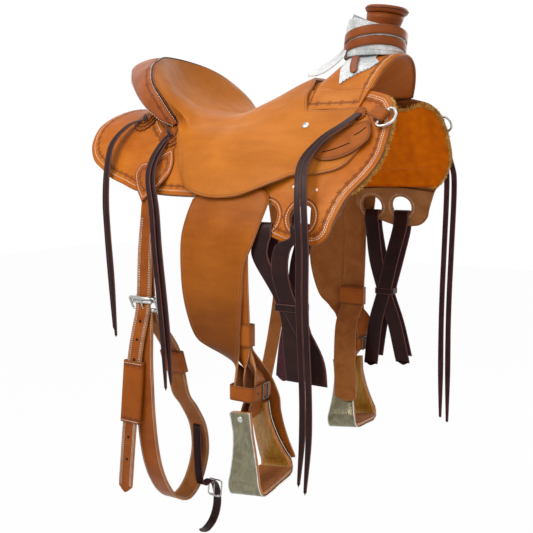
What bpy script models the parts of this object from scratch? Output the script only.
"""A wade saddle, built from its driving dimensions.

Sizes are in millimetres and become metres when a mesh is made. X points to the horn, Y to the
horse's left, Z up. The origin is the ridge line of the horse's back, midway along the skirts.
The near side of the saddle is its right side, at -Y.
"""

import math

import bmesh
import bpy
from mathutils import Vector

MM = 0.001
FIT = 0.5  # clearance between pieces that lie on each other
TOUCH = 0.3  # clearance of a small piece on its seat
RIGHT, LEFT = -1, 1

# The flank is the outer face of the skirts. It is straight below FLANK_STRAIGHT_TOP.
FLANK_HALF_WIDTH = 265.0
FLANK_STRAIGHT_TOP = -150.0
FLANK_CURVE_HEIGHT = 290.0
FLANK_DRAW_IN = 156.0
FLANK_POWER = 1.65
FLANK_CREST = 140.0
REAR_BLEND_START, REAR_BLEND_END = -120.0, -300.0
STATIONS_S = (-150, -100, -50, -10, 20, 50, 80, 110, 140, 165, 190, 215, 238)
STATIONS_X = (-320, -290, -245, -222, -200, -180, -160, -120, 290, 325)

# Leather thicknesses, and the layers as distances from the flank.
SKIRT_LEATHER = 5.0
RIG_LEATHER = 4.2
WOOL = 12.0
BAR_THICKNESS = 21.5
SEAT_LEATHER = 5.0
SEAT_FACE = 6.0  # how far the seat's outer face stands off the flank
GROUND_SEAT = 4.5
JOCKEY_RISE = 16.0  # how far the jockey stands out over the fender
SEAT_STEPS = 2
CANTLE_BACK_DROP, CANTLE_BACK_LEAN = 9.0, 26.0
STRAP_LEATHER = 3.8
FENDER_LEATHER = 4.0

RIG_HOLE_RADIUS = 24.5
RIG_HOLES_X = (151.0, 226.0)
RIG_HOLES_Z = -95.0

FORK_BASE = 100.0
FORK_FOOT = 142.0
FORK_STEPS = 18
FORK_HALF_WIDTH = 120.0
FORK_HEIGHT = 120.0
FORK_COVER = 4.0
FORK_FRONT_X = 293.0
FORK_FRONT_LEAN = 0.38
GULLET_LIP = 9.0
GULLET_WALL = 23.0

HORN_CENTRE_X = 258.0
HORN_POST_RADIUS = 30.0
HORN_CAP_RADIUS = 43.0
HORN_CAP_X, HORN_CAP_Z = 281.0, 309.0
HORN_CAP_DIP = 8.0  # degrees
HORN_CAP_UNDER, HORN_CAP_OVER = 11.0, 4.0  # the cap's faces below and above its centre
HORN_FOOT_Z = 214.0
WRAP_RADIUS = 59.0
WRAP_CENTRE_X, WRAP_LEAN = 257.0, 0.1
HORN_STRAP_WIDTH, HORN_STRAP_THICKNESS = 18.0, 3.0

LEATHER_X = 95.0  # the stirrup leather's centre line, and the line that it swings on
LEATHER_WIDTH, NECK_WIDTH = 58.0, 46.0
LEATHER_SWING_Z = 42.0  # height of the line that leather and fender swing on
TWIST = 101.0  # degrees that the fender's neck turns
TWIST_TOP, TWIST_LENGTH = -345.0, 85.0
BOLT_X, BOLT_Y, BOLT_Z = 101.0, 230.0, -490.0
STIRRUP_LEAN, STIRRUP_ROLL = 8.0, 5.0  # degrees
STIRRUP_WOOD = 10.0
BINDING = 1.4
TREAD_LEATHER, TREAD_WIDTH = 3.0, 80.0
BOLT_RADIUS, SLEEVE_RADIUS, BOLT_HEAD_RADIUS, BOLT_HEAD = 4.0, 7.0, 6.5, 2.4

BILLET_X, BILLET_TOP = -130.0, -44.0
BILLET_SWING_Z = -50.0
BILLET_WIDTH = 38.0
CINCH_WIDTH, CINCH_LEATHER = 50.0, 5.0
CONNECTOR_WIDTH, CONNECTOR_LEATHER = 22.0, 3.0
BUCKLE_WIRE = 2.6
KEEPER_LEATHER = 2.4
LATIGO_WIDTH = 36.0
STRING_WIDTH, STRING_LEATHER = 13.0, 3.0
ROSETTE_RADIUS, ROSETTE_HEIGHT = 12.0, 5.0
DEE_X, DEE_S, DEE_TURN = 343.0, 84.0, 25.0  # the breast dee's bar on the flank, and its turn in degrees
DEE_RADIUS, DEE_WIRE = 21.0, 2.6

model = bpy.data.collections.new("wade_saddle")
cutters = bpy.data.collections.new("cutters")


def clear_scene():
    for item in list(bpy.data.objects):
        bpy.data.objects.remove(item)
    bpy.context.scene.collection.children.link(model)
    bpy.context.scene.collection.children.link(cutters)


def material(name, colour, roughness, metallic=0.0):
    made = bpy.data.materials.new(name)
    made.use_nodes = True
    shader = made.node_tree.nodes["Principled BSDF"]
    shader.inputs["Base Color"].default_value = (*colour, 1.0)
    shader.inputs["Roughness"].default_value = roughness
    shader.inputs["Metallic"].default_value = metallic
    return made


# Small vector and curve helpers


def smoothstep(value):
    value = min(1.0, max(0.0, value))
    return value * value * (3 - 2 * value)


def mix(a, b, t):
    return tuple(p + (q - p) * t for p, q in zip(a, b))


def spline(points, steps, closed=False):
    """Catmull-Rom curve through the points, with this many steps to each span."""
    n = len(points)
    spans = n if closed else n - 1
    curve = []
    for i in range(spans):
        if closed:
            p = [points[(i + k) % n] for k in (-1, 0, 1, 2)]
        else:
            p = [points[max(0, min(n - 1, i + k))] for k in (-1, 0, 1, 2)]
        for step in range(steps):
            t = step / steps
            curve.append(
                tuple(
                    0.5 * (2 * b + (c - a) * t + (2 * a - 5 * b + 4 * c - d) * t * t
                           + (3 * b - a - 3 * c + d) * t * t * t)
                    for a, b, c, d in zip(*p)
                )
            )
    if not closed:
        curve.append(tuple(points[-1]))
    return curve


def outline(*runs, steps=3):
    """A closed outline of smooth runs that meet at corners."""
    points = []
    for run in runs:
        points += spline(run, steps)[:-1] if len(run) > 2 else list(run[:-1])
    return points


def add_object(name, bm, look, collection=model, smooth=True):
    """Makes an object of a bmesh in millimetres."""
    bmesh.ops.recalc_face_normals(bm, faces=bm.faces)
    if bm.calc_volume(signed=True) < 0:
        bmesh.ops.reverse_faces(bm, faces=bm.faces)
    bmesh.ops.scale(bm, vec=(MM, MM, MM), verts=bm.verts)
    mesh = bpy.data.meshes.new(name)
    bm.to_mesh(mesh)
    bm.free()
    if smooth:
        mesh.shade_smooth()
        mesh.set_sharp_from_angle(angle=math.radians(35))
    made = bpy.data.objects.new(name, mesh)
    collection.objects.link(made)
    if look is not None:
        mesh.materials.append(look)
    return made


def as_cutter(made):
    made.hide_render = True
    made.display_type = "WIRE"
    return made


def boolean(target, cutter, operation):
    change = target.modifiers.new(cutter.name, "BOOLEAN")
    change.object = cutter
    change.operation = operation
    change.solver = "EXACT"


def set_pivot(made, pivot):
    """Puts the object's origin at a point given in millimetres."""
    shift = Vector(pivot) * MM
    for vertex in made.data.vertices:
        vertex.co -= shift
    made.location = shift


# The flank surface


def side_half_width(z):
    rise = max(0.0, (z - FLANK_STRAIGHT_TOP) / FLANK_CURVE_HEIGHT)
    return FLANK_HALF_WIDTH - FLANK_DRAW_IN * rise**FLANK_POWER


# The section (y, z) over the crest, and the rounder section of the rear housing.
CREST_SECTION = {165: (90, 154), 190: (63, 162), 215: (33, 166), 238: (1.2, 167)}
REAR_SECTION = {
    50: (182, 49), 80: (157, 81), 110: (128, 101), 140: (96, 115), 165: (72, 123), 190: (48, 129), 215: (24, 132.5), 238: (1.2, 133.5),
}


def flank_station(x, s):
    base = CREST_SECTION.get(s) or (side_half_width(s), s)
    rear = REAR_SECTION.get(s) or base
    blend = smoothstep((x - REAR_BLEND_START) / (REAR_BLEND_END - REAR_BLEND_START))
    return mix(base, rear, blend)


def flank_section_point(x, index, distance):
    """Offset point of one station, along the mean of its two chords' normals."""
    here = Vector(flank_station(x, STATIONS_S[index]))
    before = Vector(flank_station(x, STATIONS_S[max(0, index - 1)]))
    after = Vector(flank_station(x, STATIONS_S[min(len(STATIONS_S) - 1, index + 1)]))
    if index == 0:
        before = here - Vector((0, 25))
    chord_a, chord_b = (here - before), (after - here)
    if chord_a.length < 1e-6:
        chord_a = chord_b
    if chord_b.length < 1e-6:
        chord_b = chord_a
    normal_a = Vector((chord_a.y, -chord_a.x)).normalized()
    normal_b = Vector((chord_b.y, -chord_b.x)).normalized()
    normal = (normal_a + normal_b).normalized()
    return here + normal * distance / max(0.5, normal.dot(normal_a))


def flank(x, s, distance, side=RIGHT):
    """A point off the flank: s is its height, or its way over the crest above FLANK_CREST."""
    if s <= FLANK_STRAIGHT_TOP:
        return (x, side * (FLANK_HALF_WIDTH + distance), s)
    index = max(i for i, station in enumerate(STATIONS_S) if station <= s)
    if index == len(STATIONS_S) - 1:
        index -= 1
    low, high = STATIONS_S[index], STATIONS_S[index + 1]
    t = (s - low) / (high - low)
    start = flank_section_point(x, index, distance)
    end = flank_section_point(x, index + 1, distance)
    point = start.lerp(end, t)
    return (x, side * point.x, point.y)


def sheet(name, edge, inner, outer, look, place, cuts_u, cuts_v, collection=model):
    """A closed sheet over a flat outline (u, v), set on a surface by place(u, v, distance)."""
    bm = bmesh.new()
    bm.faces.new([bm.verts.new((u, v, 0.0)) for u, v in edge])
    for cuts, normal in ((cuts_u, (1, 0, 0)), (cuts_v, (0, 1, 0))):
        for cut in cuts:
            bmesh.ops.bisect_plane(
                bm,
                geom=bm.verts[:] + bm.edges[:] + bm.faces[:],
                plane_co=Vector(normal) * cut,
                plane_no=normal,
                dist=0.01,
            )
    top = bmesh.ops.extrude_face_region(bm, geom=bm.faces[:], use_keep_orig=True)
    raised = {v for v in top["geom"] if isinstance(v, bmesh.types.BMVert)}
    for vertex in bm.verts:
        u, v = vertex.co.x, vertex.co.y
        distance = (outer if vertex in raised else inner)
        vertex.co = place(u, v, distance(u, v) if callable(distance) else distance)
    return add_object(name, bm, look, collection)


def flank_sheet(name, edge, inner, outer, look, side, collection=model):
    return sheet(
        name, edge, inner, outer, look,
        lambda u, v, d: flank(u, v, d, side), STATIONS_X, STATIONS_S, collection,
    )


def loft(name, rings, look, collection=model, closed=False, caps=True):
    """A closed body of rings with equal counts of points."""
    bm = bmesh.new()
    rows = [[bm.verts.new(point) for point in ring] for ring in rings]
    count = len(rings[0])
    pairs = list(zip(rows, rows[1:]))
    if closed:
        pairs.append((rows[-1], rows[0]))
    for first, second in pairs:
        for i in range(count):
            j = (i + 1) % count
            bm.faces.new((first[i], first[j], second[j], second[i]))
    if caps and not closed:
        bm.faces.new(rows[0][::-1])
        bm.faces.new(rows[-1])
    return add_object(name, bm, look, collection)


def strip_rings(rows, thickness, steps):
    """Four-cornered rings along rows of (one edge, other edge), smoothed, of this thickness."""
    edges = spline([tuple(a) + tuple(b) for a, b in rows], steps)
    edges = [(Vector(e[:3]), Vector(e[3:])) for e in edges]
    rings = []
    for i, (a, b) in enumerate(edges):
        before = edges[max(0, i - 1)]
        after = edges[min(len(edges) - 1, i + 1)]
        along = (after[0] + after[1] - before[0] - before[1]).normalized()
        normal = along.cross((b - a).normalized()).normalized() * thickness / 2
        rings.append([a - normal, b - normal, b + normal, a + normal])
    return rings


def strip(name, rows, thickness, look, steps=3, collection=model):
    return loft(name, strip_rings(rows, thickness, steps), look, collection)


def strap_rows(path, width, across=(1, 0, 0), tip=0.0):
    """Rows of a strap's two edges: path points, a width or one for each point, and its way across."""
    rows = []
    for i, point in enumerate(path):
        wide = width[i] if isinstance(width, (list, tuple)) else width
        way = across[i] if isinstance(across[0], (list, tuple)) else across
        half = Vector(way).normalized() * wide / 2
        rows.append((Vector(point) - half, Vector(point) + half))
    if tip:
        last = (rows[-1][0] + rows[-1][1]) / 2
        along = (last - (rows[-2][0] + rows[-2][1]) / 2).normalized()
        half = (rows[-1][1] - rows[-1][0]) / 2
        rows.append((last + along * tip - half * 0.3, last + along * tip + half * 0.3))
    return rows


def tube(name, points, radius, look, collection=model, closed=False):
    """A wire of round section, made a mesh so that it can be cut and joined."""
    curve = bpy.data.curves.new(name + "_path", "CURVE")
    curve.dimensions = "3D"
    run = curve.splines.new("POLY")
    run.points.add(len(points) - 1)
    for item, point in zip(run.points, points):
        item.co = (*[c * MM for c in point], 1.0)
    run.use_cyclic_u = closed
    curve.bevel_depth = radius * MM
    curve.bevel_resolution = 2
    curve.use_fill_caps = True
    guide = bpy.data.objects.new(name + "_path", curve)
    collection.objects.link(guide)
    graph = bpy.context.evaluated_depsgraph_get()
    mesh = bpy.data.meshes.new_from_object(guide.evaluated_get(graph))
    bpy.data.objects.remove(guide)
    bm = bmesh.new()
    bm.from_mesh(mesh)
    bmesh.ops.remove_doubles(bm, verts=bm.verts, dist=1e-6)
    bmesh.ops.scale(bm, vec=(1 / MM, 1 / MM, 1 / MM), verts=bm.verts)
    return add_object(name, bm, look, collection)


def cylinder(name, centre, radius, length, axis, look, collection=model, segments=20):
    bm = bmesh.new()
    bmesh.ops.create_cone(
        bm, cap_ends=True, segments=segments, radius1=radius, radius2=radius, depth=length,
    )
    turn = Vector((0, 0, 1)).rotation_difference(Vector(axis)).to_matrix()
    bmesh.ops.rotate(bm, matrix=turn, verts=bm.verts)
    bmesh.ops.translate(bm, vec=centre, verts=bm.verts)
    return add_object(name, bm, look, collection)


def box(name, low, high, look, collection=model):
    bm = bmesh.new()
    bmesh.ops.create_cube(bm, size=1.0)
    size = [b - a for a, b in zip(low, high)]
    bmesh.ops.scale(bm, vec=size, verts=bm.verts)
    bmesh.ops.translate(bm, vec=[(a + b) / 2 for a, b in zip(low, high)], verts=bm.verts)
    return add_object(name, bm, look, collection, smooth=False)


def sided(name, side):
    return f"{name}_{'right' if side == RIGHT else 'left'}"


def mirrored(points, side):
    """Points given for the left side, at +Y, set on the named side."""
    return [(x, side * y, z) for x, y, z in points]


# Skirts, wool, rigging and tree bars

SKIRT_EDGE = outline(
    [(300, 140), (330, 131), (343, 121), (353, 107), (359, 82), (361, 50), (359, 16), (343, -17),
     (313, -53), (301, -77), (291, -104), (286, -122), (272, -138), (251, -144), (209, -144),
     (165, -131), (128, -117), (108, -95), (86, -72), (40, -62), (-36, -61), (-108, -59),
     (-174, -53), (-218, -39), (-258, -26), (-287, -10), (-322, 10), (-343, 36), (-352, 66),
     (-350, 110), (-346, 160), (-345, 238)],
    [(-345, 238), (-285, 238)],
    [(-285, 238), (-262, 205), (-225, 150), (-185, 100), (-150, 72), (-120, 62)],
    [(-120, 62), (-100, 54)],
    [(-100, 54), (130, 54)],
    [(130, 54), (165, 80), (182, 118), (196, 140)],
    [(196, 140), (300, 140)],
    steps=2,
)

WOOL_EDGE = outline(
    [(298, 140), (336, 128), (351, 108), (357, 82), (358, 50), (356, 18), (340, -17), (318, -42)],
    [(318, -42), (120, -44)],
    [(120, -44), (96, -58), (40, -59), (-36, -58), (-108, -56), (-174, -50), (-218, -36),
     (-258, -23), (-287, -7), (-320, 13), (-340, 38), (-348, 66), (-346, 110), (-342, 160),
     (-341, 237)],
    [(-341, 237), (-285, 237)],
    [(-285, 237), (-230, 205), (-180, 150), (-120, 106), (-60, 82), (0, 80), (60, 92), (120, 118),
     (170, 138)],
    [(170, 138), (298, 140)],
    steps=2,
)

RIG_EDGE = outline(
    [(126, -104), (110, -92), (112, -66), (124, -52)],
    [(124, -52), (215, -48), (308, -58)],
    [(308, -58), (299, -82), (288, -106), (284, -121), (270, -135), (250, -141), (209, -141),
     (165, -128), (126, -104)],
    steps=2,
)

BAR_EDGE = outline(
    [(-280, 62), (-250, 44), (-160, 34), (0, 31), (150, 34), (250, 46), (280, 66)],
    [(280, 66), (287, 96), (280, 122), (262, 139)],
    [(262, 139), (198, 139)],
    [(198, 139), (170, 122), (120, 92), (60, 76), (0, 70), (-60, 72), (-120, 92), (-200, 122),
     (-260, 122)],
    [(-260, 122), (-287, 92), (-280, 62)],
    steps=2,
)


def bar_rise(x, s):
    """1 where the wool lies under a tree bar, falling to 0 round the bar's foot and tips."""
    along = smoothstep((x + 330) / 38) * smoothstep((325 - x) / 33)
    up = smoothstep((s + 4) / 22)
    return along * up


def wool_top(x, s):
    return -SKIRT_LEATHER - FIT - (BAR_THICKNESS + 6 * FIT) * bar_rise(x, s)


def rig_hole_cutter(name, side, radius):
    """Two round bars that pass through the skirt and the rigging plate."""
    made = []
    for i, x in enumerate(RIG_HOLES_X):
        y = side * (side_half_width(RIG_HOLES_Z) - 5)
        made.append(as_cutter(cylinder(
            sided(f"{name}_{i}", side), (x, y, RIG_HOLES_Z), radius, 60, (0, 1, 0), None, cutters,
        )))
    return made


def add_side_leather(side, looks):
    skirt = flank_sheet(sided("skirt", side), SKIRT_EDGE, -SKIRT_LEATHER, 0.0, looks["skirt"], side)
    flank_sheet(
        sided("skirt_wool", side), WOOL_EDGE, lambda x, s: wool_top(x, s) - WOOL, wool_top,
        looks["wool"], side,
    )
    plate_top = -SKIRT_LEATHER - FIT
    plate = flank_sheet(
        sided("rig_plate", side), RIG_EDGE, plate_top - RIG_LEATHER, plate_top, looks["rig"], side,
    )
    for cutter in rig_hole_cutter("rig_hole", side, RIG_HOLE_RADIUS):
        boolean(skirt, cutter, "DIFFERENCE")
        boolean(plate, cutter, "DIFFERENCE")
    bar_top = -SKIRT_LEATHER - 3 * FIT
    flank_sheet(
        sided("tree_bar", side), BAR_EDGE, bar_top - BAR_THICKNESS, bar_top, looks["wood"], side,
    )


# The seat is a leather loft: rows run from the fork to the rim of the cantle, and each row from
# the centre line to the lower edge of the jockey. A row's last points lie off the flank.


def off_flank(x, s, rise=0.0):
    point = flank(x, s, SEAT_FACE + rise, LEFT)
    return point


SEAT_ROWS = [
    [(140, 0, 181), (143, 40, 179), (158, 74, 173), (166, 97, 157), off_flank(168, 130, 4),
     off_flank(178, 103), off_flank(184, 76), off_flank(187, 46, 1), off_flank(189, 10, 4),
     off_flank(191, -24, 6)],
    [(116, 0, 170), (117, 42, 168), (121, 78, 160), (123, 104, 145), (124, 127, 124),
     off_flank(124, 100), off_flank(124, 74), off_flank(125, 42, 4), off_flank(128, -2, 12),
     off_flank(133, -51, JOCKEY_RISE)],
    [(60, 0, 142), (60, 42, 140), (60, 78, 134), (60, 106, 124), (60, 128, 110),
     (60, 147, 92), off_flank(62, 66), off_flank(66, 32, 5), off_flank(72, -16, 13),
     off_flank(84, -66, JOCKEY_RISE)],
    [(-6, 0, 116), (-6, 42, 115), (-6, 80, 111), (-6, 110, 104), (-6, 133, 94),
     (-6, 151, 80), off_flank(-4, 58), off_flank(0, 24, 5), off_flank(8, -20, 13),
     off_flank(22, -68, JOCKEY_RISE)],
    [(-66, 0, 115), (-67, 42, 115), (-68, 80, 114), (-70, 112, 110), (-72, 136, 102),
     (-74, 152, 89), off_flank(-72, 66), off_flank(-66, 34, 2), off_flank(-52, -8, 9),
     off_flank(-24, -56, 15)],
    [(-122, 0, 124), (-121, 42, 126), (-119, 82, 129), (-114, 116, 130), (-106, 143, 121),
     (-98, 158, 102), off_flank(-92, 76), off_flank(-85, 46), off_flank(-73, 8, 2),
     off_flank(-48, -42, 7)],
    [(-172, 0, 148), (-169, 45, 150), (-160, 88, 156), (-147, 126, 157), (-131, 154, 143),
     (-114, 165, 114), off_flank(-104, 84), off_flank(-98, 56), off_flank(-85, 20),
     off_flank(-63, -25, 1)],
    [(-216, 0, 190), (-208, 46, 190), (-190, 92, 192), (-169, 134, 186), (-148, 166, 162),
     (-127, 174, 127), off_flank(-114, 92), off_flank(-108, 66), off_flank(-96, 33),
     off_flank(-76, -10)],
    [(-250, 0, 247), (-239, 48, 243), (-217, 92, 232), (-199, 137, 214), (-168, 178, 176),
     (-143, 182, 142), (-123, 170, 106), off_flank(-122, 80), off_flank(-108, 50),
     off_flank(-88, 6)],
]

FLAP_ROWS = [
    [off_flank(218, 101), off_flank(218, 78), off_flank(219, 50), off_flank(220, 18),
     off_flank(221, -20)],
    [off_flank(254, 103), off_flank(255, 78), off_flank(256, 50), off_flank(257, 20),
     off_flank(258, -15)],
    [off_flank(286, 104), off_flank(288, 82), off_flank(289, 55), off_flank(289, 27),
     off_flank(288, -5)],
    [off_flank(308, 90), off_flank(309, 75), off_flank(309, 55), off_flank(309, 38),
     off_flank(307, 16)],
    [off_flank(323, 72), off_flank(324, 66), off_flank(324, 60), off_flank(323, 54),
     off_flank(321, 46)],
]


def smooth_grid(rows, steps_along, steps_across):
    across = [spline(row, steps_across) for row in rows]
    columns = [spline(list(column), steps_along) for column in zip(*across)]
    return [list(row) for row in zip(*columns)]


def grid_faces(bm, rows):
    """Quads over a grid of vertices that already exist."""
    for first, second in zip(rows, rows[1:]):
        for i in range(len(first) - 1):
            bm.faces.new((first[i], first[i + 1], second[i + 1], second[i]))


def seat_mesh(steps_along, steps_across, rows_used, columns_used, flap):
    """The seat's outer face as an open bmesh, both halves, in millimetres."""
    bm = bmesh.new()
    grid = smooth_grid([row[:columns_used] for row in SEAT_ROWS[:rows_used]], steps_along, steps_across)
    halves = {}
    for side in (RIGHT, LEFT):
        rows = []
        for row in grid:
            vertices = []
            for i, point in enumerate(row):
                if i == 0 and side == LEFT:
                    vertices.append(halves[RIGHT][len(rows)][0])
                else:
                    vertices.append(bm.verts.new((point[0], side * point[1], point[2])))
            rows.append(vertices)
        halves[side] = rows
        grid_faces(bm, rows)
        if not flap:
            continue
        first = SEAT_ROWS[0][5:]
        front = smooth_grid([SEAT_ROWS[1][5:], first, *FLAP_ROWS], steps_along, steps_across)
        front = front[steps_along:]
        shared = rows[0][5 * steps_across:]
        flap_rows = [shared]
        for row in front[1:]:
            flap_rows.append([bm.verts.new((x, side * y, z)) for x, y, z in row])
        grid_faces(bm, flap_rows)
    bmesh.ops.recalc_face_normals(bm, faces=bm.faces)
    return bm


def solidified(bm, thickness):
    """A closed shell of an open face, thickened against its normals."""
    for face in bm.faces:
        face.normal_update()
    bm.normal_update()
    lower = {v: v.co - v.normal * thickness for v in bm.verts}
    made = bmesh.ops.extrude_face_region(bm, geom=bm.faces[:], use_keep_orig=True)
    raised = [v for v in made["geom"] if isinstance(v, bmesh.types.BMVert)]
    originals = [v for v in bm.verts if v in lower]
    # The extrusion copies each vertex in place, so the copies keep the outer face.
    for vertex in originals:
        vertex.co = lower[vertex]
    return raised


def grid_shell(name, top, bottom, look):
    """A closed body between two grids of one half, made whole over the centre line."""
    rings = []
    for upper, lower in zip(top, bottom):
        left = [(p.x, p.y, p.z) for p in upper]
        left_low = [(p.x, p.y, p.z) for p in lower]
        rings.append(whole(left) + whole(left_low)[::-1])
    return loft(name, rings, look)


def add_seat(looks):
    bm = seat_mesh(1, SEAT_STEPS, len(SEAT_ROWS), 10, True)
    solidified(bm, SEAT_LEATHER)
    add_object("seat", bm, looks["seat"])
    top = seat_below(SEAT_LEATHER + 3 * FIT)[1:-1]
    bottom = seat_below(SEAT_LEATHER + 3 * FIT + GROUND_SEAT)[1:-1]
    grid_shell("ground_seat", [row[:-1] for row in top], [row[:-1] for row in bottom],
               looks["rawhide"])


# The cantle: a roll of leather behind the rim, and the wooden cantle under the dish

RIM = [(-251, 0, 247), (-240, 49, 243), (-218, 94, 232), (-200, 139, 214), (-169, 180, 176),
       (-144, 184, 142), (-125, 172, 105), (-118, 165, 90)]
ROLL_EDGE = [(-348, 0, 238), (-341, 50, 229), (-304, 103, 200), (-262, 146, 173),
             (-221, 176, 144), (-190, 187, 119), (-160, 180, 95), (-132, 170, 82)]
ROLL_SECTION = [(0.0, 0.5), (0.18, 4.5), (0.45, 7.5), (0.75, 5.0), (0.94, -1.0), (1.0, -8.0),
                (0.9, -13.0), (0.6, -9.0), (0.25, -5.5), (0.0, -4.0)]


def whole(half):
    """A half curve from the centre line made whole, from the right end to the left."""
    return [(x, -y, z) for x, y, z in half[:0:-1]] + list(half)


def roll_frames():
    """The roll's start, way out and way up at each of its sections."""
    rim = [Vector(p) for p in spline(whole(RIM), 2)]
    edge = [Vector(p) for p in spline(whole(ROLL_EDGE), 2)]
    frames = []
    for i, (a, b) in enumerate(zip(rim, edge)):
        along = rim[min(len(rim) - 1, i + 1)] - rim[max(0, i - 1)]
        out = b - a
        up = along.cross(out).normalized()
        rim_gap = SEAT_LEATHER - FIT
        start = a + out.normalized() * rim_gap
        frames.append((start, out * max(0.4, 1 - rim_gap / out.length), up, min(1.0, out.length / 60)))
    return frames


def cantle_roll(looks):
    rings = [
        [start + out * u + up * n * pillow for u, n in ROLL_SECTION]
        for start, out, up, pillow in roll_frames()
    ]
    return loft("cantle_roll", rings, looks["seat"])


def crest_height(x, y):
    """Height of the skirts' outer face at this place, for a piece that stands on it."""
    stations = [flank_station(x, s) for s in STATIONS_S]
    for low, high in zip(stations, stations[1:]):
        if high[0] <= abs(y) <= low[0]:
            return low[1] + (high[1] - low[1]) * (low[0] - abs(y)) / (low[0] - high[0])
    return stations[-1][1]


def seat_below(depth):
    """The seat's grid of points, moved in by this depth, for one half."""
    grid = smooth_grid([row[:6] for row in SEAT_ROWS], 1, SEAT_STEPS)
    lowered = []
    for i, row in enumerate(grid):
        points = []
        for j, point in enumerate(row):
            ahead = Vector(grid[min(len(grid) - 1, i + 1)][j]) - Vector(grid[max(0, i - 1)][j])
            aside = Vector(row[min(len(row) - 1, j + 1)]) - Vector(row[max(0, j - 1)])
            normal = aside.cross(ahead).normalized()
            if j == 0:
                normal = Vector((normal.x, 0, normal.z)).normalized()
            points.append(Vector(point) - normal * depth)
        lowered.append(points)
    return lowered


def cantle_wood(looks):
    """The wooden cantle, between the ground seat's dish, the roll and the skirts."""
    under_ground = seat_below(SEAT_LEATHER + GROUND_SEAT + 4 * FIT)
    under_seat = seat_below(SEAT_LEATHER + 5 * FIT)
    frames = roll_frames()
    middle = len(frames) // 2
    half = []
    for j in range(10):
        start, out, up, pillow = frames[middle + j]
        front_top, front_mid, front_low = under_seat[8][j], under_ground[7][j], under_ground[6][j]
        front_top = front_top.lerp(front_mid, 0.3)
        top_mid = start + out * 0.25 - up * (CANTLE_BACK_DROP * pillow + 2 * FIT)
        back_top = start + out * 0.5 - up * (CANTLE_BACK_DROP * pillow + 4 * FIT)
        floor = crest_height(front_low.x, front_low.y) + 2.5
        foot_z = min(front_low.z - 3, max(floor, front_low.z - 40))
        foot_front = Vector((front_low.x - 12, front_low.y * 0.98, foot_z))
        back_low = Vector((back_top.x + CANTLE_BACK_LEAN, back_top.y * 0.93, 0))
        back_floor = crest_height(back_low.x, back_low.y) + 2.5
        back_low.z = min(back_top.z - 4, max(back_floor, back_top.z - 120))
        half.append([front_top, front_mid, front_low, foot_front, back_low, back_top, top_mid])
    whole_rings = [[Vector((p.x, -p.y, p.z)) for p in ring] for ring in half[:0:-1]] + half
    return loft("tree_cantle", whole_rings, looks["wood"])


# The fork, its cover and the horn


def fork_height(x):
    """Height of the arch over FORK_BASE at this x: it falls away behind the horn."""
    rise = smoothstep((x - 150) / 85)
    return 72 + (FORK_HEIGHT - 72) * rise


def fork_front(z):
    return FORK_FRONT_X + (z - 132) * FORK_FRONT_LEAN


def fork_point(t, part, inset):
    """A point of the arch: t runs from the right foot to the left, part from back to front, and
    inset is the depth below the cover's outer face."""
    side = RIGHT if t < 0.5 else LEFT
    way = 2 * min(t, 1 - t)
    back = 171 - 21 * smoothstep(way * 1.5)
    guess = math.radians(22 + 68 * way)
    front = fork_front(FORK_BASE + (FORK_HEIGHT - inset) * math.sin(guess))
    x = back + (front - back) * part
    height = fork_height(x) - inset
    width = FORK_HALF_WIDTH - inset
    foot = math.asin(min(0.97, (FORK_FOOT - FORK_BASE) / height))
    angle = foot + (math.pi / 2 - foot) * way
    return (x, side * width * math.cos(angle), FORK_BASE + height * math.sin(angle))


FORK_PARTS = (0.0, 0.2, 0.4, 0.6, 0.8, 1.0)


def fork_loft(name, section, look, collection=model, ends=0.0):
    """The arch lofted from a section of (part, inset) pairs, short of both feet by a share."""
    rings = [
        [fork_point(min(1 - ends, max(ends, t / FORK_STEPS)), part, inset) for part, inset in section]
        for t in range(FORK_STEPS + 1)
    ]
    return loft(name, rings, look, collection)


def add_fork(looks):
    thin = FORK_COVER
    section = [(part, 0.0) for part in FORK_PARTS]
    section += [(1.0, GULLET_LIP), (0.8, GULLET_WALL + thin), (0.0, GULLET_WALL + thin)]
    section += [(0.0, GULLET_WALL), (0.77, GULLET_WALL), (0.95, thin + 1.5)]
    section += [(part, thin) for part in FORK_PARTS[-2::-1]]
    cover = fork_loft("fork_cover", section, looks["skirt"])
    foot = outline(
        [(183, 107), (176, 128), (172, 145)], [(172, 145), (296, 145)],
        [(296, 145), (291, 124), (286, 107)], [(286, 107), (183, 107)],
    )
    for side in (RIGHT, LEFT):
        flap = flank_sheet(
            sided("fork_foot", side), foot, FIT, FIT + thin, None, side, cutters)
        boolean(cover, as_cutter(flap), "UNION")
    deep = thin + 3 * FIT
    wood = [(part, deep) for part in FORK_PARTS[:-1]] + [(0.9, deep + 1.7)]
    wood += [(0.75, GULLET_WALL - 5 * FIT), (0.0, GULLET_WALL - 5 * FIT)]
    fork = fork_loft("tree_fork", wood, looks["wood"], ends=0.02)
    envelope = [(part, -FIT) for part in FORK_PARTS[:-1]] + [(1.03, -FIT), (1.03, 60), (0.0, 28)]
    shape = as_cutter(fork_loft("fork_envelope", envelope, None, cutters))
    add_horn(looks, cover, fork, shape)


def horn_lean():
    return (HORN_CAP_X - HORN_CENTRE_X) / (HORN_CAP_Z - HORN_FOOT_Z)


def horn_axis(z):
    """The horn's centre line, which leans to the front."""
    return HORN_CENTRE_X + horn_lean() * (z - HORN_FOOT_Z)


def turned(name, profile, look, collection=model, segments=20, axis=horn_axis):
    """A turned body: rings of (height, radius, dip in degrees) round the horn's axis."""
    rings = []
    for z, radius, dip in profile:
        fall = math.tan(math.radians(dip))
        rings.append([
            (axis(z) + radius * math.cos(a), radius * math.sin(a), z - radius * math.cos(a) * fall)
            for a in (2 * math.pi * k / segments for k in range(segments))
        ])
    return loft(name, rings, look, collection)


def wrap_axis(z):
    return WRAP_CENTRE_X + WRAP_LEAN * (z - 240)


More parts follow.
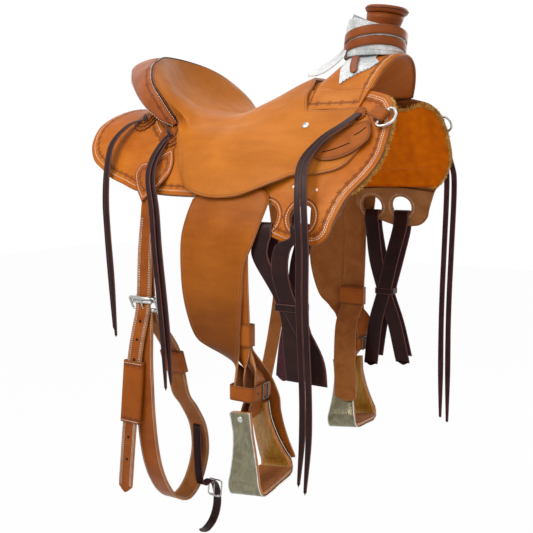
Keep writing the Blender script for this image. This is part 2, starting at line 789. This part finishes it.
def add_horn(looks, cover, fork, shape):
    post_low = FORK_BASE + FORK_HEIGHT - GULLET_WALL + 4
    dip = math.radians(HORN_CAP_DIP)
    post_high = HORN_CAP_Z - (HORN_CAP_UNDER + TOUCH) / (math.cos(dip) + horn_lean() * math.sin(dip))
    post = [(post_low, HORN_POST_RADIUS, 0), (250, HORN_POST_RADIUS + 1, 2),
            (276, HORN_POST_RADIUS + 4, 5), (post_high, HORN_POST_RADIUS + 8, HORN_CAP_DIP)]
    turned("horn_post", post, looks["cap"])
    wide = [(z - (i < 1) * FIT, r + FIT, dip) for i, (z, r, dip) in enumerate(post)]
    wide.append((320, 44, HORN_CAP_DIP))
    hole = as_cutter(turned("horn_hole", wide, None, cutters))
    boolean(cover, hole, "DIFFERENCE")
    boolean(fork, hole, "DIFFERENCE")
    cap = turned(
        "horn_cap",
        [(-HORN_CAP_UNDER, HORN_CAP_RADIUS - 6, 0), (-8, HORN_CAP_RADIUS - 1, 0),
         (-2, HORN_CAP_RADIUS, 0), (2, HORN_CAP_RADIUS - 3, 0), (3.5, HORN_CAP_RADIUS - 12, 0),
         (HORN_CAP_OVER, 4, 0)],
        looks["cap"], axis=lambda z: 0.0)
    cap.rotation_euler = (0, math.radians(HORN_CAP_DIP), 0)
    cap.location = (HORN_CAP_X * MM, 0, HORN_CAP_Z * MM)
    wrap = turned(
        "horn_wrap",
        [(192, 62, 0), (212, 61, 0), (219, WRAP_RADIUS, 0), (268, WRAP_RADIUS, 0), (286, 53, 0),
         (306, 47, 0)],
        looks["hide"], axis=wrap_axis)
    slope = box("wrap_slope", (-150, -100, 0), (150, 100, 90), None, cutters)
    slope.rotation_euler = (0, math.radians(19.5), 0)
    slope.location = (256 * MM, 0, 284 * MM)
    add_wrap_tails(wrap)
    for cutter in (as_cutter(slope), hole, shape):
        boolean(wrap, cutter, "DIFFERENCE")
    add_horn_strap(looks)


def arch_spot(x, y, lift):
    """A point this far over the fork cover, at this x and y."""
    height = fork_height(x)
    share = min(0.999, abs(y) / FORK_HALF_WIDTH)
    rise = math.sqrt(1 - share * share)
    normal = Vector((0, y / FORK_HALF_WIDTH**2, height * rise / height**2)).normalized()
    return Vector((x, y, FORK_BASE + height * rise)) + normal * lift


def add_wrap_tails(wrap):
    lift = FIT + 3.0
    front = [
        (arch_spot(206, -44, lift), arch_spot(280, -44, lift)),
        (arch_spot(210, -62, lift), arch_spot(289, -62, lift)),
        (arch_spot(215, -76, lift), arch_spot(291, -76, lift)),
        (arch_spot(220, -90, lift), arch_spot(262, -86, lift)),
    ]
    rear = [
        ((214, -12, 240), (216, -58, 222)),
        ((186, -24, 216), (184, -60, 200)),
        ((156, -36, 197), (155, -58, 189)),
        ((131, -44, 184), (131, -52, 182)),
    ]
    for name, rows in (("wrap_tail_front", front), ("wrap_tail_rear", rear)):
        rows = [(Vector(a), Vector(b)) for a, b in rows]
        tail = strip(name, rows, 3.4, None, 2, cutters)
        boolean(wrap, as_cutter(tail), "UNION")


def add_horn_strap(looks):
    """Two turns round the wrap, and an end that lies on the front tail."""
    radius = WRAP_RADIUS + 2 * FIT + HORN_STRAP_THICKNESS / 2 + 0.4
    half = Vector((WRAP_LEAN, 0, 1)) * HORN_STRAP_WIDTH / 2
    rows = []
    turns, count = 1.9, 34
    for k in range(count + 1):
        a = math.radians(160 + 360 * turns * k / count)
        z = 269 - 20.5 * turns * k / count + 2.5 * math.cos(a)
        centre = Vector((wrap_axis(z) + radius * math.cos(a), radius * math.sin(a), z))
        rows.append((centre + half, centre - half))
    strip("horn_strap", rows, HORN_STRAP_THICKNESS, looks["cap"], 1)


# Fenders and stirrup leathers. Points are given for the left side, and the side sets the sign of Y.


def leather_rise(s):
    """How far the stirrup leather's inner face stands off the flank."""
    return 2.6 + 3.6 * smoothstep((-60 - s) / 80)


FENDER_EDGE = outline(
    [(40, -44), (8, -50), (-17, -70)],
    [(-17, -70), (-24, -98), (-32, -143), (-34, -189), (-30, -250), (-17, -301), (1, -337)],
    [(1, -337), (30, -357), (52, -372), (57, -400)],
    [(57, -400), (57, -450)],
    [(57, -450), (106, -450)],
    [(106, -450), (106, -337), (112, -250), (118, -189), (137, -143), (150, -98), (157, -68)],
    [(157, -68), (146, -52), (120, -42)],
    [(120, -42), (40, -44)],
    steps=2,
)


def twist_at(z):
    return math.radians(TWIST) * smoothstep((TWIST_TOP - z) / TWIST_LENGTH)


def fender_point(u, v, d, side):
    """The fender lies over the leather, and its neck turns about its front edge."""
    edge_rise = 5.2 + 1.5 * smoothstep((-60 - v) / 80)
    over_leather = leather_rise(v) + STRAP_LEATHER + FIT
    over = smoothstep((u - 15) / 45) * smoothstep((152 - u) / 26)
    rise = edge_rise + (over_leather - edge_rise) * over
    if v > TWIST_TOP:
        return flank(u, v, rise + d, side)
    turn = twist_at(v)
    share = smoothstep((TWIST_TOP - v) / 105)
    front_x = 106 - 13 * share
    front_y = FLANK_HALF_WIDTH + rise
    behind = 106 - u
    x = front_x - behind * math.cos(turn) - d * math.sin(turn)
    y = front_y - behind * math.sin(turn) + d * math.cos(turn)
    return (x, side * y, v)


def add_fender(side, look):
    cuts_x = (12, 38, 60, 84, 126, 142)
    cuts_z = (-50, -75, -100, -125, -150, -345, -358, -370, -382, -394, -408, -424)
    sheet(
        sided("fender", side), FENDER_EDGE, 0.0, FENDER_LEATHER, look,
        lambda u, v, d: fender_point(u, v, d, side), cuts_x, cuts_z,
    )


def leather_row(x, y, z, width, turn, side, fall=0.0):
    """One row of a strap whose face has turned by this angle about the vertical."""
    half = Vector((math.cos(turn), side * math.sin(turn), -fall * math.sin(turn))) * width / 2
    centre = Vector((x, side * y, z))
    return centre - half, centre + half


def add_stirrup_leather(side, look):
    """The outer strand, its turn round the bolt, the strand that comes back and the free end."""
    tongue, wide, neck = 14.0, LEATHER_WIDTH, NECK_WIDTH
    rows = []
    for s, width in ((8, tongue), (-3, tongue), (-14, wide - 6), (-32, wide), (-62, wide), (-100, wide),
                     (-150, wide)):
        rise = leather_rise(s) - 1.7 * (width == tongue) + STRAP_LEATHER / 2
        _, y, z = flank(LEATHER_X, s, rise, LEFT)
        rows.append(leather_row(LEATHER_X, y, z, width, 0, side))
    quarter = math.pi / 2
    fall = math.tan(math.radians(STIRRUP_ROLL))
    wrap = SLEEVE_RADIUS + STRAP_LEATHER / 2 + 2 * FIT
    down = [(95, 273, -220, wide, 0), (95, 268, -300, wide, 0), (95, 267, -345, wide, 0),
            (98, 264, -366, 54, 0.3), (103, 256, -388, 50, 0.9), (108, 249, -410, neck, 1.4),
            (109, 244, -430, neck, quarter), (107, 238.5, -450, neck, quarter),
            (97, 231, -470, neck, quarter)]
    up = [(112, 230, -472, neck, quarter), (122, 237, -455, neck, quarter),
          (130, 240, -432, neck, quarter), (131, 250, -405, neck, 1.25), (124, 257, -385, 50, 0.8),
          (108, 262, -368, 54, 0.3), (95, 263, -350, wide, 0), (95, 263, -312, wide, 0)]
    rows += [leather_row(x, y, z, w, turn, side, fall * (z < -440)) for x, y, z, w, turn in down]
    for angle in (180, 225, 270, 315, 360):
        a = math.radians(angle)
        rows.append(leather_row(BOLT_X + wrap * math.cos(a), BOLT_Y, BOLT_Z + wrap * math.sin(a),
                                neck, quarter, side, fall))
    rows += [leather_row(x, y, z, w, turn, side, fall * (z < -440)) for x, y, z, w, turn in up]
    strand = strip(sided("stirrup_leather", side), rows, STRAP_LEATHER, look, 1)
    tail_path = [(95, 263, -309), (95, 258.3, -325), (95, 258.3, -350), (97, 226, -385),
                 (104, 203, -416), (112, 184, -460), (114, 181, -490), (118, 176, -520),
                 (124, 166, -556), (130, 150, -594), (134, 139, -622)]
    tail = strap_rows(mirrored(tail_path, side), LEATHER_WIDTH, tip=12)
    end = strip(sided("leather_end", side), tail, STRAP_LEATHER, None, 1, cutters)
    boolean(strand, as_cutter(end), "UNION")


def rounded_loop(low, high, radius, steps=2):
    """Points round a rectangle (x, y) with rounded corners."""
    points = []
    corners = [(high, high, 0), (low, high, 90), (low, low, 180), (high, low, 270)]
    for across, up, start in corners:
        cx = across[0] - radius if across is high else across[0] + radius
        cy = up[1] - radius if up is high else up[1] + radius
        for k in range(steps + 1):
            a = math.radians(start + 90 * k / steps)
            points.append((cx + radius * math.cos(a), cy + radius * math.sin(a)))
    return points


def band(name, loop, side, top, bottom, thickness, look, shift=(0, 0), collection=model):
    """A strap closed round a loop (x, y), from one height to another."""
    count = len(loop)
    rings = []
    for i, (x, y) in enumerate(loop):
        before, after = Vector(loop[i - 1]), Vector(loop[(i + 1) % count])
        along = (after - before).normalized()
        out = Vector((along.y, -along.x)) * thickness / 2
        ring = []
        for sign, z, move in ((-1, top, (0, 0)), (-1, bottom, shift), (1, bottom, shift), (1, top, (0, 0))):
            ring.append((x + sign * out.x + move[0], side * (y + sign * out.y + move[1]), z))
        rings.append(ring)
    return loft(name, rings, look, collection, closed=True)


def add_leather_keepers(side, looks):
    half = LEATHER_WIDTH / 2 + FIT + KEEPER_LEATHER / 2
    sleeve = rounded_loop((LEATHER_X - half, 254.3), (LEATHER_X + half, 271.8), 1.5)
    band(sided("leather_keeper", side), sleeve, side, -302, -346, KEEPER_LEATHER, looks["skirt"])
    loop = rounded_loop((84, 210), (136.8, 281), 8)
    band(sided("hobble_strap", side), loop, side, -422, -452, 3.0, looks["skirt"])


# Stirrups, modelled round the bolt and then set at their lean

BOW_HALF = [(31, 13), (31.5, -8), (34, -32), (41, -70), (52, -106), (59, -124), (57, -139),
            (44, -145), (0, -145)]
BOW_WIDTHS = (47, 45, 44, 52, 64, 71, 74, 75, 75)


def bow_rows(offset, trim=0.0):
    """Rows along the bow, moved out by an offset."""
    half = list(zip(BOW_HALF, BOW_WIDTHS))
    path = [((-y, z), w) for (y, z), w in half[:-1]] + [((y, z), w) for (y, z), w in half[::-1]]
    rows = []
    for i, ((y, z), width) in enumerate(path):
        before, after = path[max(0, i - 1)][0], path[min(len(path) - 1, i + 1)][0]
        along = Vector((after[0] - before[0], after[1] - before[1])).normalized()
        y, z = y + along.y * offset, z - along.x * offset
        rows.append((Vector((-(width - trim) / 2, y, z)), Vector(((width - trim) / 2, y, z))))
    return rows


def set_on_bolt(made, side):
    made.location = (BOLT_X * MM, side * BOLT_Y * MM, BOLT_Z * MM)
    made.rotation_mode = "YXZ"
    made.rotation_euler = (-side * math.radians(STIRRUP_ROLL), -math.radians(STIRRUP_LEAN), 0)


def turned_along_y(name, profile, look, collection=model, segments=12):
    """A turned body on the Y axis: rings of (place along Y, radius)."""
    turns = [2 * math.pi * k / segments for k in range(segments)]
    rings = [[(r * math.cos(a), y, r * math.sin(a)) for a in turns] for y, r in profile]
    return loft(name, rings, look, collection)


def add_stirrup(side, looks):
    bow = strip(sided("stirrup_bow", side), bow_rows(0), STIRRUP_WOOD, looks["wood"], 1)
    outside = STIRRUP_WOOD / 2 + FIT + BINDING / 2
    binding = strip(
        sided("stirrup_binding", side), bow_rows(outside, 2), BINDING, looks["steel"], 1)
    tread_half, tread_z = BOW_HALF[-2][0] - 1, BOW_HALF[-1][1] + STIRRUP_WOOD / 2 + FIT
    tread = box(
        sided("stirrup_tread", side), (-TREAD_WIDTH / 2, -tread_half, tread_z),
        (TREAD_WIDTH / 2, tread_half, tread_z + TREAD_LEATHER), looks["cap"])
    ear = BOW_HALF[0][0]
    ear_in = ear - STIRRUP_WOOD / 2 - FIT
    ear_out = ear + outside + BINDING / 2 + 2 * FIT
    half = [(ear_out + BOLT_HEAD, BOLT_HEAD_RADIUS), (ear_out, BOLT_HEAD_RADIUS), (ear_out, BOLT_RADIUS),
            (ear_in, BOLT_RADIUS), (ear_in, SLEEVE_RADIUS)]
    profile = [(-y, r) for y, r in half] + half[::-1]
    bolt = turned_along_y(sided("stirrup_bolt", side), profile, looks["steel"])
    reach = ear_out + 20
    hole = turned_along_y(
        sided("bolt_hole", side), [(-reach, BOLT_RADIUS + FIT), (reach, BOLT_RADIUS + FIT)], None, cutters)
    for made in (bow, binding, tread, bolt, as_cutter(hole)):
        set_on_bolt(made, side)
    boolean(bow, hole, "DIFFERENCE")
    boolean(binding, hole, "DIFFERENCE")


# Rear rigging: the safes, the billets and the flank cinch

SAFE_EDGE = outline(
    [(-110, 34), (-96, 2), (-99, -28), (-114, -52), (-132, -66), (-145, -78)],
    [(-145, -78), (-158, -62), (-176, -44), (-187, -22), (-186, -8)],
    [(-186, -8), (-176, 4), (-155, 6), (-135, 20), (-110, 34)],
    steps=2,
)


def safe_rise(x, s):
    """The safe lies on the skirt and rises over the billet's end."""
    over = smoothstep((-8 - s) / 24) * smoothstep((x + 172) / 14) * smoothstep((-96 - x) / 10)
    return FIT + (6.8 - FIT) * over


def add_billet(side, looks):
    flank_sheet(
        sided("rear_rig_safe", side), SAFE_EDGE, safe_rise, lambda x, s: safe_rise(x, s) + 3.4,
        looks["skirt"], side,
    )
    top = [flank(BILLET_X, s, d, LEFT) for s, d in ((BILLET_TOP, 2.8), (BILLET_TOP - 10, 3.0),
                                                    (BILLET_TOP - 22, 4.0))]
    if side == RIGHT:
        low = [(-131, 256, -110), (-133, 264, -180), (-137, 267.5, -285), (-147, 273, -345),
               (-157, 276.4, -405), (-175, 275.6, -545), (-187, 273, -630), (-196, 270, -690)]
    else:
        low = [(-124, 254, -120), (-116, 256, -200), (-112, 256, -317), (-128, 254, -440),
               (-150, 252, -550), (-158, 251, -590)]
    path = mirrored(top + low, side)
    widths = [12, 12] + [BILLET_WIDTH] * (len(path) - 2)
    billet = strip(sided("rear_billet", side), strap_rows(path, widths, tip=18), STRAP_LEATHER,
                   looks["skirt"], 1)
    if side == RIGHT:
        inner = mirrored([(-131, 254, -110), (-132, 260, -160), (-135, 258, -210), (-137, 252.5, -262),
                          (-137, 252, -269)], side)
        layer = strip("billet_layer", strap_rows(inner, BILLET_WIDTH - 2), STRAP_LEATHER, None, 1, cutters)
        boolean(billet, as_cutter(layer), "UNION")


CINCH_LOOP = [(262, -301.5), (266, -350), (268, -405), (266.5, -465), (263, -530), (252, -610),
              (232, -672), (196, -726), (150, -752), (110, -738), (82, -700), (70, -655), (80, -600),
              (112, -548), (142, -510), (158, -455), (176, -400), (212, -352), (240, -326),
              (250, -303.6)]
CINCH_X = -140.0


def add_flank_cinch(looks):
    path = [(CINCH_X, -y, z) for y, z in CINCH_LOOP]
    widths = [44] + [CINCH_WIDTH] * (len(path) - 2) + [44]
    strip("flank_cinch", strap_rows(path, widths), CINCH_LEATHER, looks["skirt"], 1)
    for name, bars in (("outer", ((274, -272), (261, -298.8))), ("inner", ((252, -271.7), (250, -300.7)))):
        (top_y, top_z), (low_y, low_z) = bars
        left, right = -170, -104
        corner = 5
        outline_points = [
            (left + corner, top_y, top_z), (right - corner, top_y, top_z),
            (right, *mix(bars[0], bars[1], 0.2)), (right, *mix(bars[0], bars[1], 0.8)),
            (right - corner, low_y, low_z), (left + corner, low_y, low_z),
            (left, *mix(bars[0], bars[1], 0.8)), (left, *mix(bars[0], bars[1], 0.2)),
        ]
        tube(f"flank_buckle_{name}", mirrored(outline_points, RIGHT), BUCKLE_WIRE, looks["steel"],
             closed=True)
    # The sleeve round the billet and the cinch, and the one on the strand that comes back up
    outer = rounded_loop((-183.5, 272.4), (-132.5, 280.4), 3)
    band("flank_keeper_outer", outer, RIGHT, -408, -545, KEEPER_LEATHER, looks["skirt"], (-15, -1))
    half = CINCH_WIDTH / 2 + TOUCH + KEEPER_LEATHER / 2
    inner = rounded_loop((CINCH_X - half, 164.5), (CINCH_X + half, 182.5), 4)
    band("flank_keeper_inner", inner, RIGHT, -405, -455, KEEPER_LEATHER, looks["skirt"], (0, -17))


def add_connector(looks):
    """The dark strap round the foot of the cinch, its buckle and its hanging end."""
    lift = (CINCH_LEATHER + CONNECTOR_LEATHER) / 2 + TOUCH
    strand = [Vector(point) for point in CINCH_LOOP[10:14]]
    seat = []
    for before, here, after in zip(strand, strand[1:], strand[2:]):
        normal_a = (here - before).orthogonal().normalized()
        normal_b = (after - here).orthogonal().normalized()
        normal = (normal_a + normal_b).normalized()
        seat.append(here - normal * lift / normal.dot(normal_a))
    first = seat[0] + (strand[0] - strand[1]) * 0.5
    path = [(CINCH_X - 2, *first), (CINCH_X - 2, *seat[0]), (CINCH_X + 1, *seat[1]),
            (-112, 112, -722), (-92, 98, -720),
            (-94, 76, -741), (-96, 65, -775), (-98, 67, -805), (-100, 80, -828), (-100, 104, -838),
            (-100, 118, -837)]
    rows = strap_rows(mirrored(path, RIGHT), CONNECTOR_WIDTH, tip=6)
    strip("connector_strap", rows, CONNECTOR_LEATHER, looks["dark"], 1)
    frame = [(-108, 82, -728), (-80, 82, -728), (-76, 80, -735), (-76, 74, -758), (-80, 72, -765),
             (-108, 72, -765), (-112, 74, -758), (-112, 80, -735)]
    tube("connector_buckle", mirrored(frame, RIGHT), 1.8, looks["steel"], closed=True)


# Latigos: two straps to a side, each through a rigging hole, gathered by a tie

LATIGO_TURN = [(265.8, -132), (264.0, -118), (260.5, -109.4), (254.5, -108.0), (247.4, -109.0),
               (244.2, -118), (243.0, -132)]
LATIGO_OUTER, LATIGO_INNER = 267.6, 240.5
LATIGO_PLAN = {
    RIGHT: {
        "outer": ([(196, -150), (190, -200), (212, -262), (262, -345), (272, -400)],
                  [(146, -150), (150, -180), (203, -262), (215, -345), (222, -400)]),
        "inner": ([(222, -150), (213, -190), (210, -262), (235, -345), (240, -396)],
                  [(156, -150), (172, -200), (200, -262), (190, -345), (185, -396)]),
        "tie": ((180, 235), -262),
    },
    LEFT: {
        "outer": ([(224, -160), (208, -230), (190, -303), (172, -380), (160, -470)],
                  [(154, -160), (168, -230), (186, -303), (214, -380), (236, -462)]),
        "inner": ([(222, -160), (204, -230), (188, -303), (168, -380), (158, -478)],
                  [(156, -160), (166, -230), (188, -303), (216, -380), (238, -466)]),
        "tie": ((166, 210), -303),
    },
}


def add_latigo(side, looks):
    plan = LATIGO_PLAN[side]
    straps = []
    for i, hole_x in enumerate(RIG_HOLES_X[::-1]):
        outer = [(x, LATIGO_OUTER - 1.0 * i, z) for x, z in plan["outer"][i]]
        inner = [(x, LATIGO_INNER + 1.0 * i, z) for x, z in plan["inner"][i]]
        turn = [(hole_x, y, z) for y, z in LATIGO_TURN]
        path = mirrored(outer[::-1] + turn + inner, side)
        rows = strap_rows(path, LATIGO_WIDTH, tip=14)
        name = "latigo" if i == 0 else "latigo_rear"
        collection = model if i == 0 else cutters
        look = looks["dark"] if i == 0 else None
        straps.append(strip(sided(name, side), rows, STRAP_LEATHER, look, 1, collection))
    boolean(straps[0], as_cutter(straps[1]), "UNION")
    (low, high), z = plan["tie"]
    loop = rounded_loop((low, LATIGO_INNER - 3), (high, LATIGO_OUTER + 3), 5)
    tie = band(sided("latigo_tie", side), loop, side, z + 7, z - 7, 3.0, None, collection=cutters)
    boolean(straps[0], as_cutter(tie), "UNION")


# The breast collar dees, their chapes and the leaf-shaped tabs

LEAF_EDGE = outline(
    [(229, 10), (252, 4), (282, 8), (308, 20), (330, 40)],
    [(330, 40), (331, 54), (325, 66), (318, 76)],
    [(318, 76), (300, 72), (275, 62), (252, 46), (236, 28), (229, 10)],
    steps=2,
)


def dee_frame(side):
    """The bar's centre, the way out of the dee, the way along the bar and the flank's normal."""
    centre = Vector(flank(DEE_X, DEE_S, 7.2, side))
    up = (Vector(flank(DEE_X, DEE_S + 6, 7.2, side)) - Vector(flank(DEE_X, DEE_S - 6, 7.2, side))).normalized()
    ahead = Vector((1, 0, 0))
    turn = math.radians(DEE_TURN)
    out = ahead * math.cos(turn) - up * math.sin(turn)
    bar = ahead * math.sin(turn) + up * math.cos(turn)
    normal = Vector((0, side * up.z, -side * up.y))
    return centre, out, bar, normal


def add_dee(side, looks):
    flank_sheet(sided("leaf_tab", side), LEAF_EDGE, SEAT_FACE + FIT, SEAT_FACE + FIT + 4, looks["rig"], side)
    centre, out, bar, normal = dee_frame(side)
    r = DEE_RADIUS
    shape = [(-r + 4, 0), (r - 4, 0), (r, 3), (r + 1, 8), (r - 5, 18), (r - 13, 23), (0, 25),
             (13 - r, 23), (5 - r, 18), (-r - 1, 8), (-r, 3)]
    tube(sided("breast_dee", side), [centre + bar * b + out * o for b, o in shape], DEE_WIRE,
         looks["steel"], closed=True)
    loop = DEE_WIRE + 0.7 + 1.5
    path = [centre - out * 24 + normal * 5.9, centre - out * 12 + normal * 5.4, centre + normal * loop]
    path += [centre + out * loop * 0.75 + normal * loop * 0.7, centre + out * (loop + 0.4)]
    path += [centre + out * loop * 0.75 - normal * loop * 0.7, centre - normal * loop,
             centre - out * 15 - normal * loop]
    strip(sided("dee_chape", side), strap_rows(path, 26, across=tuple(bar)), 3.0, looks["skirt"], 1)


# Saddle strings: a stack of leather discs at the saddle, and two thongs that hang from it

STRINGS = {
    "rear": {
        "spot": (-226, 99, 0.4),
        "path": [(-250, 168, 88), (-268, 204, 50), (-265, 228, 0), (-262, 240, -70), (-258, 242, -140),
                 (-250, 242, -250), (-244, 242, -345)],
        "second": (9, 4.5, -14),
    },
    "middle": {
        "spot": (-133, 62, 0.0),
        "path": [(-134, 192, 46), (-132, 225, 12), (-120, 252, -28), (-96, 270, -90), (-80, 283, -170),
                 (-66, 287, -270), (-58, 287, -360), (-54, 287, -430)],
        "second": (-10, 4.5, -12),
    },
    "front": {
        "spot": (294, 88, SEAT_FACE),
        "path": [(272, 184, 74), (240, 206, 48), (215, 236, 4), (224, 266, -60), (238, 284, -148),
                 (242, 291, -240), (246, 291, -330), (250, 290, -420), (250, 290, -500), (244, 290, -580)],
        "second": (16, 4.5, -10),
    },
}
FRONT_LEFT_PATH = [(306, 180, 76), (324, 210, 44), (330, 244, 0), (328, 266, -50), (321, 282, -198),
                   (318, 286, -300), (318, 286, -390), (320, 286, -500), (322, 286, -600)]


def add_string(name, side, looks):
    plan = STRINGS[name]
    x, s, rise = plan["spot"]
    circle = [(x + ROSETTE_RADIUS * math.cos(a), s + ROSETTE_RADIUS * math.sin(a))
              for a in (2 * math.pi * k / 12 for k in range(12))]
    lift = rise + FIT
    rosette = flank_sheet(sided(f"string_{name}", side), circle, lift, lift + ROSETTE_HEIGHT,
                          looks["dark"], side)
    path = plan["path"]
    if name == "front" and side == LEFT:
        path = FRONT_LEFT_PATH
    start = flank(x, s, lift + ROSETTE_HEIGHT - 1, LEFT)
    step = plan["second"]
    for i in range(2):
        points = [(start[0] + 2 * i, start[1] + 0.4 * i, start[2])]
        for k, (px, py, pz) in enumerate(path):
            spread = i * min(1.0, 0.45 + 0.2 * k)
            points.append((px + step[0] * spread, py + step[1] * i, pz))
        last = points[-1]
        points[-1] = (last[0], last[1], last[2] + step[2] * i)
        thong = strip(sided(f"thong_{name}_{i}", side), strap_rows(mirrored(points, side), STRING_WIDTH),
                      STRING_LEATHER, None, 1, cutters)
        boolean(rosette, as_cutter(thong), "UNION")


def set_pivots():
    """Puts the origin of each swinging piece on the line that it swings on."""
    for side in (RIGHT, LEFT):
        hang = (LEATHER_X, side * side_half_width(LEATHER_SWING_Z), LEATHER_SWING_Z)
        for name in ("fender", "stirrup_leather", "leather_keeper", "hobble_strap"):
            set_pivot(model.objects[sided(name, side)], hang)
        billet = (BILLET_X, side * side_half_width(BILLET_SWING_Z), BILLET_SWING_Z)
        set_pivot(model.objects[sided("rear_billet", side)], billet)
        set_pivot(model.objects[sided("breast_dee", side)], dee_frame(side)[0])
        if side == RIGHT:
            for name in ("flank_cinch", "flank_buckle_outer", "flank_buckle_inner", "flank_keeper_outer",
                         "flank_keeper_inner", "connector_strap", "connector_buckle"):
                set_pivot(model.objects[name], billet)


def main():
    clear_scene()
    looks = {
        "skirt": material("skirt_leather", (0.62, 0.26, 0.07), 0.45),
        "seat": material("seat_leather", (0.58, 0.27, 0.09), 0.4),
        "fender": material("fender_leather", (0.42, 0.15, 0.02), 0.4),
        "dark": material("latigo_leather", (0.035, 0.012, 0.014), 0.35),
        "cap": material("horn_leather", (0.35, 0.1, 0.02), 0.4),
        "rig": material("flesh_leather", (0.38, 0.17, 0.07), 0.8),
        "wool": material("woolskin", (0.6, 0.28, 0.04), 0.95),
        "hide": material("mulehide", (0.72, 0.72, 0.74), 0.9),
        "wood": material("tree_wood", (0.55, 0.36, 0.15), 0.6),
        "rawhide": material("rawhide", (0.7, 0.6, 0.4), 0.6),
        "steel": material("stainless_steel", (0.6, 0.6, 0.58), 0.25, 1.0),
    }
    for side in (RIGHT, LEFT):
        add_side_leather(side, looks)
    add_seat(looks)
    cantle_roll(looks)
    cantle_wood(looks)
    add_fork(looks)
    for side in (RIGHT, LEFT):
        add_fender(side, looks["fender"])
        add_stirrup_leather(side, looks["skirt"])
        add_leather_keepers(side, looks)
        add_stirrup(side, looks)
        add_billet(side, looks)
        add_latigo(side, looks)
        add_dee(side, looks)
        for name in STRINGS:
            add_string(name, side, looks)
    add_flank_cinch(looks)
    add_connector(looks)
    set_pivots()


main()
